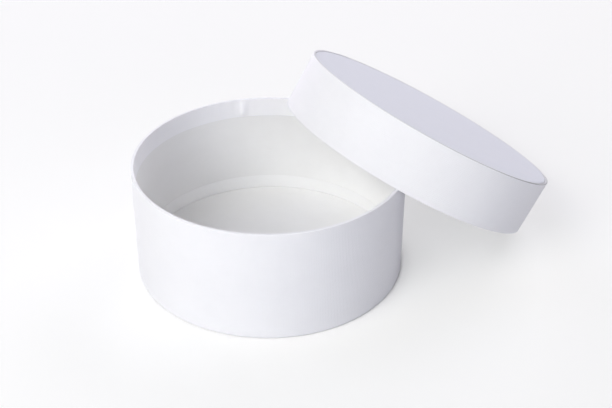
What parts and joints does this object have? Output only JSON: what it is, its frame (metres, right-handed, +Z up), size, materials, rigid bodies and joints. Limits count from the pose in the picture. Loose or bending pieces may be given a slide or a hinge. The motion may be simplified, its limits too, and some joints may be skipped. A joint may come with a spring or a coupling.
{
  "type": "round box",
  "caption": "Round lidded keepsake box of paper-covered board, its lid taken off and leaning on the rim.",
  "frame": {"origin": "centre of the foot paper's underside, where the box stands", "axes": "+Z up the box's own axis, +X from the box towards the place where the leaning lid touches the ground"},
  "size_m": [0.3263, 0.2056, 0.1432],
  "materials": {
    "cover_paper": "white cover paper with a fine linen emboss",
    "lining_paper": "smooth uncoated white lining paper",
    "strip_paper": "smooth white gummed strip",
    "panel_paper": "white cover paper with a faint lavender cast",
    "board": "grey rigid board, hidden inside the walls"
  },
  "bodies": {
    "base": {"base_wall_board": "board", "base_bottom_board": "board", "base_cover_paper": "cover_paper", "base_wall_lining": "lining_paper", "base_corner_strip": "strip_paper", "base_floor_lining": "lining_paper", "base_foot_paper": "lining_paper"},
    "lid": {"lid_wall_board": "board", "lid_top_board": "board", "lid_cover_paper": "cover_paper", "lid_wall_lining": "lining_paper", "lid_corner_strip": "strip_paper", "lid_ceiling_lining": "lining_paper", "lid_top_paper": "panel_paper"}
  },
  "joints": [
    {"name": "lid_lift", "type": "slide", "parent": "base", "child": "lid", "axis": [0, 0, 1], "range_m": [0, 0.1]}
  ]
}
